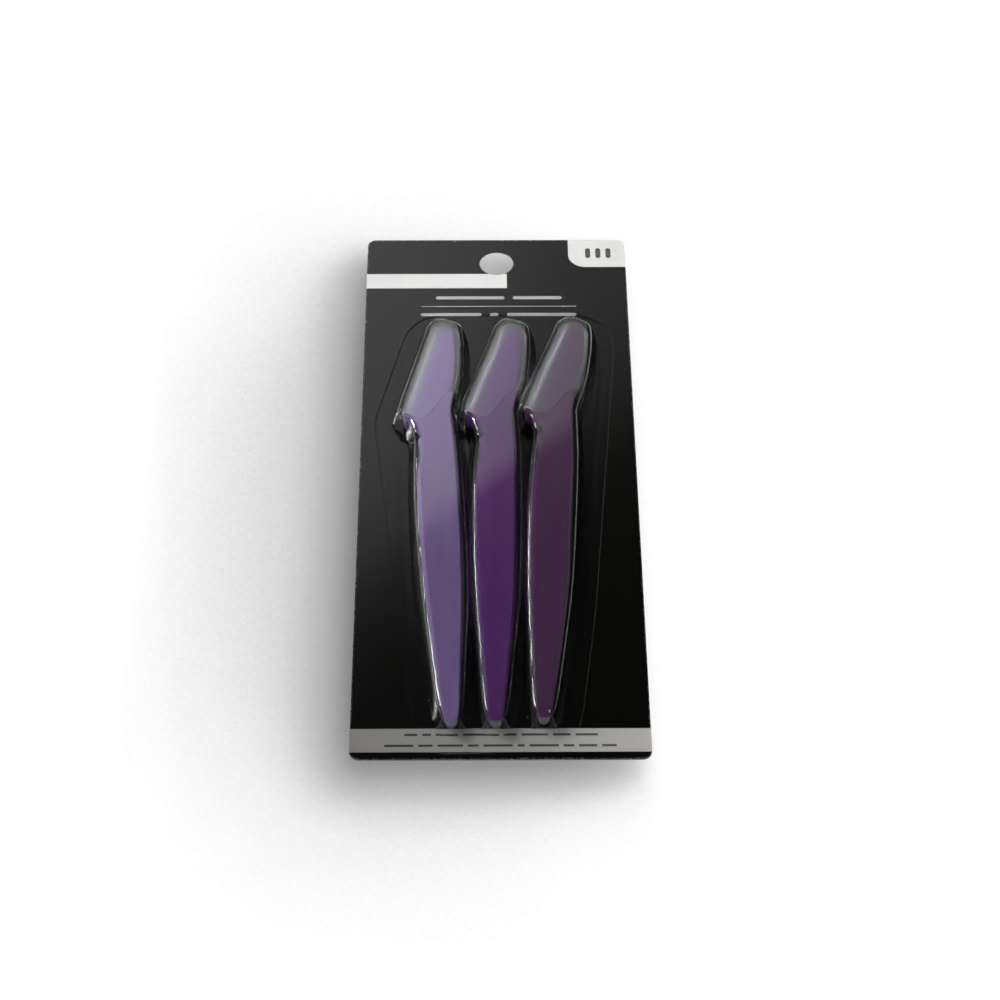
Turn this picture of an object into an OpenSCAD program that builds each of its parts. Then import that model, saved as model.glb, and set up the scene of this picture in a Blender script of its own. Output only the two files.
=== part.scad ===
// Carded blister pack of three capped eyebrow razors.
// The card lies flat on its back: X across, Y towards the hang hole, Z out of the printed face.

/* [Card] */
// Width of the backing card
card_w = 76; // [72:1:90]
// Length of the backing card
card_l = 190; // [186:1:220]
// Thickness of the board
card_t = 0.5; // [0.3:0.05:1.2]
// Radius of the card's corners
card_corner_r = 2.5; // [1:0.5:6]
// Radius of the hang hole
hang_hole_r = 5; // [3:0.5:6]
// Distance from the top edge to the hang hole's centre
hang_hole_inset = 10; // [9:0.5:12]

/* [Blister] */
// Thickness of the formed clear sheet
sheet_t = 0.35; // [0.25:0.05:0.6]
// Width of the sealing flange round the pockets
flange_w = 5.2; // [4:0.1:5.6]
// Air between a razor's outline and its pocket, near the ceiling
pocket_gap = 0.9; // [0.7:0.05:1.2]
// How far the drafted pocket walls flare out down to the card
pocket_flare = 1.3; // [1:0.05:1.8]
// Air between a razor's top and the pocket's ceiling
ceiling_gap = 0.4; // [0.3:0.05:0.8]
// Radius that rounds the wall into the ceiling
ceiling_round = 1.2; // [0.8:0.1:1.5]
// Height of the embossed heat seal ribs
seal_rib_h = 0.15; // [0.1:0.01:0.3]
// Length of a heat seal rib, across the flange
seal_rib_l = 2.6; // [1.5:0.1:3]
// Width of a heat seal rib at its foot
seal_rib_w = 1.1; // [0.6:0.05:1.4]
// Distance from one heat seal rib to the next
seal_rib_pitch = 3.2; // [2:0.1:6]

/* [Razor places on the card] */
// Distance of the left razor's butt from the card's centre line
left_x = -12.4; // [-16:0.1:-12]
// Distance of the middle razor's butt from the card's centre line
middle_x = -1.2; // [-1.6:0.1:-0.8]
// Distance of the right razor's butt from the card's centre line
right_x = 10.9; // [10.5:0.1:14]
// Distance of the left razor's butt from the card's lower edge
left_rise = 9; // [9:0.1:12]
// Distance of the middle razor's butt from the card's lower edge
middle_rise = 9; // [9:0.1:12]
// Distance of the right razor's butt from the card's lower edge
right_rise = 10; // [9:0.1:12]
// Lean of the left razor away from the card's length, in degrees to the right
left_lean = -2.5; // [-4:0.1:-2.3]
// Lean of the middle razor
middle_lean = 0.8; // [0.5:0.1:1.2]
// Lean of the right razor
right_lean = 3.1; // [2.8:0.1:4]

/* [Grip] */
// Length from the butt to the heel of the cap
grip_l = 108.3; // [101:0.1:113]
// Width that the grip's outline is drawn to
grip_w = 11.6; // [10:0.1:12]
// Thickness of the grip at the ridge across its flats
grip_t = 5.4; // [5:0.1:6.5]
// Thickness at the butt
butt_t = 2; // [1.6:0.1:4]
// Thickness at the neck, level with the cap's heel
neck_t = 5; // [4.6:0.05:5.3]
// Width of the sloped shoulders along the grip's edges
bevel_w = 2.1; // [1.5:0.1:2.4]
// Distance from the grip's axis out to the heel of the cap
heel_reach = 9.5; // [9:0.1:10]

/* [Head and cap] */
// Lean of the blade's edge, and of the cap's travel, from the grip's axis
blade_lean = 16.1; // [14:0.1:18]
// How far the cap's tip stands out beyond the upper end of the blade
tip_reach = 3.3; // [3:0.1:6]
// Width of the cap across its mouth
cap_w = 13.2; // [12.6:0.1:14]
// Thickness of the cap
cap_t = 5.2; // [4.8:0.05:5.3]
// Rise of the cap's S-shaped mouth from heel to spine
mouth_rise = 10; // [8.5:0.1:11]
// Wall of the cap
cap_wall = 0.65; // [0.5:0.05:0.8]
// Running gap between the cap and the head
cap_gap = 0.25; // [0.15:0.05:0.4]
// Gap between the cap's mouth and the grip's shoulder
shoulder_gap = 0.3; // [0.2:0.05:0.6]
// Width of the sloped edge on the blade side of the cap
cap_bevel = 1.8; // [1:0.1:2.2]
// How far the head goes down into the grip
root_depth = 0.6; // [0.3:0.05:0.8]

/* [Blade and guard] */
// Length of the blade
blade_l = 31; // [28:0.5:33]
// Width of the blade strip, edge to back
blade_w = 5.2; // [4:0.1:6]
// Thickness of the blade strip
blade_t = 0.25; // [0.15:0.01:0.4]
// Width of the ground bevel at the edge
grind_w = 0.7; // [0.4:0.05:1]
// How far the blade stands out of the head's lip
blade_reach = 1.2; // [0.9:0.05:1.6]
// Gap between the blade's edge and the inside of the cap
edge_gap = 0.35; // [0.3:0.01:0.5]
// Distance of the blade's lower end from the heel
blade_start = 1; // [0.5:0.1:2]
// Clearance of the blade in its slot and of the guard on the blade
blade_clear = 0.03; // [0.01:0.005:0.06]
// Thickness of the head at the lip
lip_t = 1.5; // [1.2:0.05:2]
// Width of the slope down to the lip
lip_slope_w = 2.4; // [1:0.1:3]
// Radius of the pegs that hold the blade
peg_r = 0.7; // [0.4:0.05:0.9]
// Thickness of the guard's folded foil
foil_t = 0.12; // [0.08:0.01:0.2]
// Distance from one guard tooth to the next
tooth_pitch = 1; // [0.8:0.05:2]
// Width of one guard tooth
tooth_w = 0.4; // [0.25:0.05:0.6]
// Width of the guard's strip beside the head's lip
strip_w = 0.35; // [0.2:0.05:0.5]

/* [Hidden] */

// How far a cut runs past the face that it opens
overrun = 2;

// Each razor's butt across the card, its rise from the lower edge and its lean
left_place = [left_x, left_rise, left_lean];
middle_place = [middle_x, middle_rise, middle_lean];
right_place = [right_x, right_rise, right_lean];
places = [left_place, middle_place, right_place];

handle_colors = ["#9482b2", "#623e82", "#4e3050"];

// Grip edges, butt to hook: along as a share of grip_l, then left and right as shares of grip_w,
// then the left and the right shoulder as shares of bevel_w
grip_shares = [
    [0.007, -0.128, 0.128, 0.16, 0.16],
    [0.030, -0.184, 0.184, 0.26, 0.26],
    [0.100, -0.243, 0.244, 0.48, 0.48],
    [0.195, -0.318, 0.318, 0.70, 0.70],
    [0.300, -0.392, 0.392, 0.88, 0.88],
    [0.405, -0.458, 0.442, 1.00, 1.00],
    [0.520, -0.498, 0.466, 1.00, 1.00],
    [0.650, -0.526, 0.466, 1.00, 1.00],
    [0.755, -0.530, 0.460, 1.00, 1.00],
    [0.797, -0.506, 0.455, 0.92, 1.00],
    [0.820, -0.450, 0.450, 0.78, 1.00],
    [0.845, -0.428, 0.444, 0.74, 1.00],
    [0.869, -0.440, 0.437, 0.76, 1.00],
    [0.888, -0.470, 0.430, 0.84, 1.00],
    [0.900, -0.400, 0.424, 0.70, 1.00]];
// Right side of the neck, on from there: across as a share of grip_w, along as a share of grip_l,
// then the shoulder
neck_shares = [
    [0.390, 0.950, 0.90],
    [0.376, 0.982, 0.76],
    [0.390, 1.010, 0.54],
    [0.418, 1.030, 0.34],
    [0.430, 1.042, 0.20]];
// Hook on the left, from the nub under the cap's heel back down to the grip's edge
hook_shares = [
    [-0.704, 0.9780, 0.18],
    [-0.756, 0.9794, 0.16],
    [-0.778, 0.9758, 0.16],
    [-0.765, 0.9690, 0.18],
    [-0.700, 0.9604, 0.20],
    [-0.580, 0.9510, 0.26],
    [-0.456, 0.9400, 0.38],
    [-0.385, 0.9250, 0.54],
    [-0.372, 0.9110, 0.64]];
// Height on the grip's flank as a share of its half thickness, with the inset there as a share
// of the shoulder
flank_shares = [[0.38, 0], [0.60, 0.14], [0.94, 0.84], [1, 1]];
// Place of the ridge across the grip's flats, as a share of its length
ridge_share = 0.52;

// The S-shaped mouth: across as a share of cap_w, along as a share of mouth_rise
mouth_shares = [
    [0, 0], [0.092, -0.12], [0.233, -0.21], [0.389, -0.235], [0.495, -0.19], [0.577, -0.06],
    [0.626, 0.14], [0.683, 0.416], [0.742, 0.688], [0.821, 0.864], [0.905, 0.948], [1, 1]];
// Shoulder of the grip along the mouth, as shares of bevel_w, from the third mouth point to the last but one
shoulder_shares = [0.20, 0.36, 0.52, 0.64, 0.72, 0.74, 0.62, 0.40, 0.22];
// Cap outline from heel to spine: across as a share of cap_w, along as a share of cap_l,
// slope as a share of cap_bevel
cap_shares = [
    [0, 0, 1.00], [0, 0.566, 1.00], [0, 0.823, 1.00], [0, 0.906, 1.00], [0.030, 0.954, 0.90],
    [0.100, 0.984, 0.75], [0.220, 0.998, 0.60], [0.370, 1.000, 0.52], [0.505, 0.981, 0.50],
    [0.622, 0.930, 0.50], [0.705, 0.848, 0.50], [0.775, 0.756, 0.50], [0.870, 0.617, 0.50],
    [0.950, 0.453, 0.50], [1, 0.283, 0.50]];
// Height of the cap's flank that stays upright, as a share of its thickness
cap_flank_share = 0.4;

// Places of the pegs along the blade, as shares of blade_l
peg_shares = [0.16, 0.84];
// Place of the pegs across the blade, as a share of blade_w from its edge
peg_across_share = 0.6;

// Wall of a pocket: height as a share of the pocket's depth, with the flare left there
pocket_wall_shares = [[0, 1.2], [0.07, 1], [0.50, 0.5], [0.84, 0.12]];
// The heat seal rows beside the grip, bottom to top: across as a share of grip_w, along as a share of grip_l
left_seal_shares = [[-0.40, 0.30], [-0.53, 0.86]];
right_seal_shares = [[0.40, 0.30], [0.466, 0.80]];
// Where the heat seal row beside the cap's blade side starts and ends, as shares of cap_l
cap_seal_shares = [0.15, 0.85];
// Number of stretches between two outline points
curve_steps = 2;

grip_mid = grip_t / 2;
head_shrink = cap_wall + cap_gap;
edge_across = cap_wall + edge_gap;
lip_across = edge_across + blade_reach;
pocket_depth = grip_t + ceiling_gap;
blade_end = blade_start + blade_l;
cap_l = blade_end + tip_reach;

// A closed curve through the given points, whatever they hold: across, along and a third value
function closed_curve(keys, steps = curve_steps) = [
    for (i = [0 : len(keys) - 1], s = [0 : steps - 1])
        let (
            n = len(keys),
            a = keys[(i + n - 1) % n],
            b = keys[i],
            c = keys[(i + 1) % n],
            d = keys[(i + 2) % n],
            t = s / steps)
        between(a, b, c, d, t)];

// The same curve through points that don't close, which ends on the last of them
function open_curve(keys, steps = curve_steps) = concat([
    for (i = [0 : len(keys) - 2], s = [0 : steps - 1])
        let (last = len(keys) - 1)
        between(keys[max(i - 1, 0)], keys[i], keys[i + 1], keys[min(i + 2, last)], s / steps)],
    [keys[len(keys) - 1]]);

// A point on the smooth curve from b to c, with a before them and d after
function between(a, b, c, d, t) =
    b + ((c - a) * t + (2 * a - 5 * b + 4 * c - d) * t * t + (3 * b - a - 3 * c + d) * t * t * t) / 2;

// Outline points moved towards the inside of an anticlockwise outline, each by its own depth
function moved_in(points, depths) = [
    for (i = [0 : len(points) - 1])
        let (
            n = len(points),
            from = points[(i + n - 1) % n],
            to = points[(i + 1) % n],
            along = [to[0] - from[0], to[1] - from[1]] / norm([to[0] - from[0], to[1] - from[1]]))
        [points[i][0] - along[1] * depths[i], points[i][1] + along[0] * depths[i]]];

function same(points, value) = [for (p = points) value];

// Outline points moved to the inside of an anticlockwise outline by one depth, with every edge kept parallel
function edges_in(points, depth) = [
    for (i = [0 : len(points) - 1])
        let (
            n = len(points),
            before = inward(points[(i + n - 1) % n], points[i]),
            after = inward(points[i], points[(i + 1) % n]))
        [points[i][0], points[i][1]] + (before + after) * depth / (1 + before * after)];

// Unit vector to the left of the way from a to b
function inward(a, b) = [a[1] - b[1], b[0] - a[0]] / norm([b[0] - a[0], b[1] - a[1]]);

// Side faces of a loft whose rings of n points go up, for an anticlockwise outline
function side_faces(n, rings) = [
    for (k = [0 : rings - 2], i = [0 : n - 1])
        let (j = (i + 1) % n, low = k * n, high = low + n)
        each [[low + i, high + i, high + j], [low + i, high + j, low + j]]];

// From the blade's own axes, with the heel at zero, to the razor's
function from_heel(p) = [
    p[0] * cos(blade_lean) + p[1] * sin(blade_lean) - heel_reach,
    p[1] * cos(blade_lean) - p[0] * sin(blade_lean) + grip_l];

// Grip
left_keys = [for (k = [len(grip_shares) - 1 : -1 : 0])
    [grip_shares[k][1] * grip_w, grip_shares[k][0] * grip_l, grip_shares[k][3] * bevel_w]];
right_keys = [for (s = grip_shares) [s[2] * grip_w, s[0] * grip_l, s[4] * bevel_w]];
neck_keys = [for (s = neck_shares) [s[0] * grip_w, s[1] * grip_l, s[2] * bevel_w]];
hook_keys = [for (s = hook_shares) [s[0] * grip_w, s[1] * grip_l, s[2] * bevel_w]];
shoulder_keys = [for (k = [len(mouth_shares) - 2 : -1 : 2])
    let (p = from_heel([mouth_shares[k][0] * cap_w, mouth_shares[k][1] * mouth_rise - shoulder_gap]))
    [p[0], p[1], shoulder_shares[k - 2] * bevel_w]];
butt_key = [0, 0, grip_shares[0][3] * bevel_w];
grip_curve = closed_curve(concat([butt_key], right_keys, neck_keys, shoulder_keys, hook_keys, left_keys));

// Half the grip's thickness at a distance from the butt, most at the ridge and less to both ends
function grip_half(y) =
    let (
        ridge = ridge_share * grip_l,
        tail = max(0, 1 - y / ridge),
        neck = max(0, (y - ridge) / (grip_l - ridge)))
    grip_mid - (grip_t - butt_t) / 2 * tail - (grip_t - neck_t) / 2 * neck;

function grip_ring(height_share, inset_share) =
    let (moved = moved_in(grip_curve, [for (p = grip_curve) p[2] * inset_share]))
    [for (p = moved) [p[0], p[1], grip_half(p[1]) * height_share]];

module grip_body() {
    n = len(grip_curve);
    // The paired edge points, which the flats of the grip run between
    pairs = curve_steps * len(grip_shares);
    levels = concat(
        [for (k = [len(flank_shares) - 1 : -1 : 0]) [-flank_shares[k][0], flank_shares[k][1]]],
        flank_shares);
    points = [for (level = levels) each grip_ring(level[0], level[1])];
    top = (len(levels) - 1) * n;
    flats = [for (i = [1 : pairs - 1]) each [
        [i, i + 1, n - i - 1],
        [i, n - i - 1, n - i],
        [top + i, top + n - i - 1, top + i + 1],
        [top + i, top + n - i, top + n - i - 1]]];
    ends = [
        [0, 1, n - 1],
        [top, top + n - 1, top + 1],
        [for (i = [pairs : n - pairs]) i],
        [for (i = [n - pairs : -1 : pairs]) top + i]];
    polyhedron(points, concat(side_faces(n, len(levels)), flats, ends), convexity = 6);
}

// Head and cap
cap_keys = [for (s = cap_shares) [s[0] * cap_w, s[1] * cap_l, s[2] * cap_bevel]];
mouth_keys = [for (s = mouth_shares) [s[0] * cap_w, s[1] * mouth_rise]];
spine = cap_keys[len(cap_keys) - 1];

// Cap outline, anticlockwise from the foot of the spine, which runs on below the mouth as the heel does
function cap_outline() =
    let (
        foot = -cap_w / 2,
        end_keys = [[spine[0], 0, spine[2]], [spine[0], foot, spine[2]]],
        keys = concat([[0, foot, cap_bevel]], cap_keys, end_keys),
        curve = open_curve(keys),
        // The blade side is straight, so its own stretches take no added points
        straight = 4 * curve_steps,
        whole = [for (i = [0 : len(curve) - 1]) if (i % curve_steps == 0 || i > straight) curve[i]])
    [for (i = [len(whole) - 1 : -1 : 0]) whole[i]];

// The cap's convex body, made smaller by shrink on every side
module sheath(shrink) {
    outline = cap_outline();
    base = moved_in(outline, same(outline, shrink));
    top = moved_in(outline, [for (p = outline) shrink + p[2]]);
    hull() {
        linear_extrude(cap_t * cap_flank_share - shrink, center = true) polygon(base);
        linear_extrude(cap_t - 2 * shrink, center = true) polygon(top);
    }
}

// Everything below the S-shaped mouth, lowered by drop
module below_mouth(drop) {
    curve = open_curve(mouth_keys);
    low = -cap_w;
    linear_extrude(cap_t + overrun, center = true)
        translate([0, -drop])
            polygon(concat(
                [[cap_w + overrun, low], [cap_w + overrun, mouth_rise]],
                [for (i = [len(curve) - 1 : -1 : 0]) curve[i]],
                [[-overrun, 0], [-overrun, low]]));
}

// Runs a section, drawn across and up, along the blade
module along_blade(start, length) {
    translate([0, start + length, 0])
        rotate([90, 0, 0])
            linear_extrude(length)
                children();
}

module at_heel() {
    translate([-heel_reach, grip_l, 0])
        rotate(-blade_lean)
            children();
}

module at_pegs() {
    for (s = peg_shares)
        translate([edge_across + peg_across_share * blade_w, blade_start + s * blade_l, 0])
            children();
}

module head_body() {
    half = cap_t / 2 - head_shrink;
    difference() {
        sheath(head_shrink);
        below_mouth(shoulder_gap + root_depth);
        along_blade(-cap_w, cap_l + 2 * cap_w)
            head_side(half);
    }
}

// What is cut from the blade side of the head to leave its lip
module head_side(half) {
    out = -overrun;
    for (side = [-1, 1])
        scale([1, side])
            polygon([
                [out, 0],
                [lip_across, 0],
                [lip_across, lip_t / 2],
                [lip_across + lip_slope_w, half],
                [lip_across + lip_slope_w, half + overrun],
                [out, half + overrun]]);
}

module blade_slot() {
    back = edge_across + blade_w + blade_clear;
    difference() {
        translate([0, blade_start - blade_clear, -blade_t / 2 - blade_clear])
            cube([back, blade_l + 2 * blade_clear, blade_t + 2 * blade_clear]);
        at_pegs()
            cylinder(h = blade_t + overrun, r = peg_r, center = true, $fn = 32);
    }
}

module handle() {
    difference() {
        union() {
            grip_body();
            at_heel() head_body();
        }
        at_heel() blade_slot();
    }
}

module blade() {
    at_heel()
        difference() {
            along_blade(blade_start, blade_l)
                polygon([
                    [edge_across, 0],
                    [edge_across + grind_w, -blade_t / 2],
                    [edge_across + blade_w, -blade_t / 2],
                    [edge_across + blade_w, blade_t / 2],
                    [edge_across + grind_w, blade_t / 2]]);
            at_pegs()
                cylinder(h = blade_t + overrun, r = peg_r + blade_clear, center = true, $fn = 32);
        }
}

module blade_guard() {
    nose = edge_across - foil_t - blade_clear;
    inner = lip_across - strip_w - blade_clear;
    outer = lip_across - blade_clear;
    count = floor((blade_l - tooth_w) / tooth_pitch);
    first = blade_start + (blade_l - count * tooth_pitch - tooth_w) / 2;
    teeth = [for (k = [0 : count]) let (y = first + k * tooth_pitch)
        each [[inner, y], [nose, y], [nose, y + tooth_w], [inner, y + tooth_w]]];
    at_heel()
        difference() {
            linear_extrude(blade_t + 2 * (foil_t + blade_clear), center = true)
                polygon(concat([[outer, blade_start], [inner, blade_start]], teeth,
                    [[inner, blade_end], [outer, blade_end]]));
            translate([edge_across - blade_clear, blade_start - overrun, -blade_t / 2 - blade_clear])
                cube([blade_w, blade_l + 2 * overrun, blade_t + 2 * blade_clear]);
        }
}

module cap() {
    at_heel()
        difference() {
            sheath(0);
            sheath(cap_wall);
            below_mouth(0);
        }
}

// Blister
// Outline of a capped razor without its finger hollows, from the same points as the grip and the cap
function razor_outline() = closed_curve(concat(
    [[0, 0]],
    [for (k = [1 : 2 : 11]) [right_keys[k][0], right_keys[k][1]]],
    [for (k = [0, 1]) [neck_keys[k][0], neck_keys[k][1]]],
    [for (k = [14, 13, 11, 9, 8, 6, 5, 3, 2, 1, 0]) from_heel([cap_keys[k][0], cap_keys[k][1]])],
    [for (k = [2, 5]) [hook_keys[k][0], hook_keys[k][1]]],
    [for (k = [1, 5, 7, 9, 11, 13]) [left_keys[k][0], left_keys[k][1]]]));

// A pocket's solid, moved out by extra: the sheet's inside with zero, its outside with its thickness
module pocket(extra, low) {
    outline = razor_outline();
    n = len(outline);
    rise = ceiling_round * (1 - cos(45));
    ceiling = pocket_depth + extra;
    levels = concat(
        [[low, pocket_flare * pocket_wall_shares[0][1]]],
        [for (s = pocket_wall_shares) [s[0] * pocket_depth, pocket_flare * s[1]]],
        [[ceiling - rise, -rise], [ceiling, -ceiling_round]]);
    kept = low < 0 ? levels : [for (k = [1 : len(levels) - 1]) levels[k]];
    points = [for (level = kept)
        each [for (p = edges_in(outline, -pocket_gap - extra - level[1])) [p[0], p[1], level[0]]]];
    top = (len(kept) - 1) * n;
    ends = [[for (i = [0 : n - 1]) i], [for (i = [n - 1 : -1 : 0]) top + i]];
    polyhedron(points, concat(side_faces(n, len(kept)), ends), convexity = 6);
}

// The flange's outline
module flange_plan() {
    offset(r = flange_w, $fn = 48)
        hull()
            for (place = [left_place, right_place])
                at_place(place)
                    polygon(edges_in(razor_outline(), -pocket_gap - pocket_flare));
}

module at_place(place) {
    translate([place[0], place[1] - card_l / 2, 0])
        rotate(-place[2])
            children();
}

// A row of heat seal ribs from a to just before b, each rib across the row
module seal_row(a, b) {
    run = b - a;
    count = floor(norm(run) / seal_rib_pitch);
    for (k = [0 : count - 1])
        translate(a + run * k / count)
            rotate(atan2(run[1], run[0]) + 90)
                seal_rib();
}

module seal_rib() {
    hull() {
        linear_extrude(sheet_t)
            square([seal_rib_l, seal_rib_w], center = true);
        linear_extrude(sheet_t + seal_rib_h)
            square([seal_rib_l - seal_rib_w / 2, seal_rib_w / 2], center = true);
    }
}

// The rows beside the left razor's pocket, then beside the right razor's
module seal_rows() {
    beside = pocket_gap + pocket_flare + flange_w / 2;
    left_side = [for (s = left_seal_shares) [s[0] * grip_w - beside, s[1] * grip_l]];
    cap_side = [for (s = cap_seal_shares) from_heel([-beside, s * cap_l])];
    right_side = [for (s = right_seal_shares) [s[0] * grip_w + beside, s[1] * grip_l]];
    right_top = from_heel([cap_keys[11][0], cap_keys[11][1]]) + [beside, 0];
    at_place(left_place) {
        seal_row(left_side[0], left_side[1]);
        seal_row(cap_side[0], cap_side[1]);
    }
    at_place(right_place) {
        seal_row(right_side[0], right_side[1]);
        seal_row(right_side[1], right_top);
    }
}

// Cards and nodes
module backing_card() {
    color("#1c1c1e")
        difference() {
            linear_extrude(card_t) {
                translate([card_corner_r - card_w / 2, -card_l / 2])
                    square([card_w - 2 * card_corner_r, card_l]);
                translate([-card_w / 2, card_corner_r - card_l / 2])
                    square([card_w, card_l - 2 * card_corner_r]);
                for (x = [-1, 1], y = [-1, 1])
                    translate([x * (card_w / 2 - card_corner_r), y * (card_l / 2 - card_corner_r)])
                        circle(card_corner_r, $fn = 32);
            }
            translate([0, card_l / 2 - hang_hole_inset, -overrun])
                cylinder(h = card_t + 2 * overrun, r = hang_hole_r, $fn = 64);
        }
}

module blister() {
    color([0.85, 0.88, 0.9, 0.35])
        translate([0, 0, card_t])
            difference() {
                union() {
                    linear_extrude(sheet_t)
                        flange_plan();
                    for (place = places)
                        at_place(place)
                            pocket(sheet_t, 0);
                    seal_rows();
                }
                for (place = places)
                    at_place(place)
                        pocket(0, -overrun);
            }
}

// Puts a razor's piece, made about the razor's middle plane, on the card
module on_card(k) {
    translate([0, 0, card_t + grip_mid])
        at_place(places[k])
            children();
}

module placed_handle(k) { color(handle_colors[k]) on_card(k) handle(); }
module placed_blade(k) { color("#c9ccd0") on_card(k) blade(); }
module placed_guard(k) { color("#d8dade") on_card(k) blade_guard(); }
module placed_cap(k) { color([0.75, 0.76, 0.78, 0.6]) on_card(k) cap(); }

module left_handle() { placed_handle(0); }
module left_blade() { placed_blade(0); }
module left_blade_guard() { placed_guard(0); }
module left_cap() { placed_cap(0); }
module middle_handle() { placed_handle(1); }
module middle_blade() { placed_blade(1); }
module middle_blade_guard() { placed_guard(1); }
module middle_cap() { placed_cap(1); }
module right_handle() { placed_handle(2); }
module right_blade() { placed_blade(2); }
module right_blade_guard() { placed_guard(2); }
module right_cap() { placed_cap(2); }

backing_card();
blister();
left_handle();
left_blade();
left_blade_guard();
left_cap();
middle_handle();
middle_blade();
middle_blade_guard();
middle_cap();
right_handle();
right_blade();
right_blade_guard();
right_cap();
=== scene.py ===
"""Looks of a carded blister pack of three capped eyebrow razors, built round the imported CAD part."""

import math

import bmesh
import bpy
import numpy as np
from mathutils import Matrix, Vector


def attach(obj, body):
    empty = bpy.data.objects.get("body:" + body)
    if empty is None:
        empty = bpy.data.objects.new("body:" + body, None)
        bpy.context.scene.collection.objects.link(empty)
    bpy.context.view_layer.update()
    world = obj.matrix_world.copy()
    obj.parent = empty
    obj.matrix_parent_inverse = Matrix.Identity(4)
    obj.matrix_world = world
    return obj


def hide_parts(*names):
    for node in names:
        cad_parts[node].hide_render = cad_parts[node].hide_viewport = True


MM = 0.001

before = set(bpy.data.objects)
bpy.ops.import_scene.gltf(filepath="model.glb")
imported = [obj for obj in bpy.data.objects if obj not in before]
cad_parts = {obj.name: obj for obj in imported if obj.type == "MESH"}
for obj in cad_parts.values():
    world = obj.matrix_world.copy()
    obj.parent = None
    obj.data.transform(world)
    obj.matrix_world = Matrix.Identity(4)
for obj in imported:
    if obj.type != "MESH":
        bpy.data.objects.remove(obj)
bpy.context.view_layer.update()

# Sizes in millimetres, the same as the part's own

CARD_W = 76
CARD_L = 190
CARD_T = 0.5
CARD_CORNER_R = 2.5

SHEET_T = 0.35
FLANGE_W = 5.2
POCKET_GAP = 0.9
POCKET_FLARE = 1.3
CEILING_GAP = 0.4
CEILING_ROUND = 1.2

GRIP_L = 108.3
GRIP_W = 11.6
GRIP_T = 5.4
BUTT_T = 2
NECK_T = 5
BEVEL_W = 2.1
HEEL_REACH = 9.5
RIDGE_SHARE = 0.52

CAP_L = 35.3
CAP_W = 13.2
CAP_T = 5.2
CAP_WALL = 0.65
CAP_GAP = 0.25
CAP_BEVEL = 1.8
MOUTH_RISE = 10
SHOULDER_GAP = 0.3
ROOT_DEPTH = 0.6

BLADE_L = 31
BLADE_W = 5.2
BLADE_T = 0.25
BLADE_REACH = 1.2
BLADE_START = 1
BLADE_CLEAR = 0.03
BLADE_LEAN = math.radians(16.1)
EDGE_GAP = 0.35
LIP_T = 1.5
LIP_SLOPE_W = 2.4
PEG_R = 0.7
PEG_ACROSS_SHARE = 0.6
PEG_SHARES = (0.16, 0.84)

POCKET_DEPTH = GRIP_T + CEILING_GAP
GRIP_MID = GRIP_T / 2
HEAD_SHRINK = CAP_WALL + CAP_GAP
EDGE_ACROSS = CAP_WALL + EDGE_GAP
LIP_ACROSS = EDGE_ACROSS + BLADE_REACH

# Each razor's name, butt across the card, butt's rise from the card's lower edge and lean in degrees
RAZORS = {"left": (-12.4, 9, -2.5), "middle": (-1.2, 9, 0.8), "right": (10.9, 10, 3.1)}

# Outline tables, as shares of the sizes above
GRIP_SHARES = [
    [0.007, -0.128, 0.128, 0.16, 0.16], [0.030, -0.184, 0.184, 0.26, 0.26],
    [0.100, -0.243, 0.244, 0.48, 0.48], [0.195, -0.318, 0.318, 0.70, 0.70],
    [0.300, -0.392, 0.392, 0.88, 0.88], [0.405, -0.458, 0.442, 1.00, 1.00],
    [0.520, -0.498, 0.466, 1.00, 1.00], [0.650, -0.526, 0.466, 1.00, 1.00],
    [0.755, -0.530, 0.460, 1.00, 1.00], [0.797, -0.506, 0.455, 0.92, 1.00],
    [0.820, -0.450, 0.450, 0.78, 1.00], [0.845, -0.428, 0.444, 0.74, 1.00],
    [0.869, -0.440, 0.437, 0.76, 1.00], [0.888, -0.470, 0.430, 0.84, 1.00],
    [0.900, -0.400, 0.424, 0.70, 1.00]]
NECK_SHARES = [
    [0.390, 0.950, 0.90], [0.376, 0.982, 0.76], [0.390, 1.010, 0.54], [0.418, 1.030, 0.34],
    [0.430, 1.042, 0.20]]
HOOK_SHARES = [
    [-0.704, 0.9780, 0.18], [-0.756, 0.9794, 0.16], [-0.778, 0.9758, 0.16],
    [-0.765, 0.9690, 0.18], [-0.700, 0.9604, 0.20], [-0.580, 0.9510, 0.26],
    [-0.456, 0.9400, 0.38], [-0.385, 0.9250, 0.54], [-0.372, 0.9110, 0.64]]
MOUTH_SHARES = [
    [0, 0], [0.092, -0.12], [0.233, -0.21], [0.389, -0.235], [0.495, -0.19], [0.577, -0.06],
    [0.626, 0.14], [0.683, 0.416], [0.742, 0.688], [0.821, 0.864], [0.905, 0.948], [1, 1]]
SHOULDER_SHARES = [0.20, 0.36, 0.52, 0.64, 0.72, 0.74, 0.62, 0.40, 0.22]
CAP_SHARES = [
    [0, 0, 1.00], [0, 0.566, 1.00], [0, 0.823, 1.00], [0, 0.906, 1.00], [0.030, 0.954, 0.90],
    [0.100, 0.984, 0.75], [0.220, 0.998, 0.60], [0.370, 1.000, 0.52], [0.505, 0.981, 0.50],
    [0.622, 0.930, 0.50], [0.705, 0.848, 0.50], [0.775, 0.756, 0.50], [0.870, 0.617, 0.50],
    [0.950, 0.453, 0.50], [1, 0.283, 0.50]]

# Sections, from the middle plane to the top: height as a share of half the thickness, then inset
# as a share of the shoulder. The last one holds the flat level.
GRIP_SECTION = [[0.00, 0], [0.40, 0.00], [0.54, 0.03], [0.95, 0.40], [0.985, 0.48], [1, 0.60], [1, 0.75]]
CAP_SECTION = [[0.00, 0], [0.34, 0.00], [0.46, 0.06], [0.93, 0.88], [0.985, 0.99], [1, 1.12], [1, 1.30]]

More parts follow.
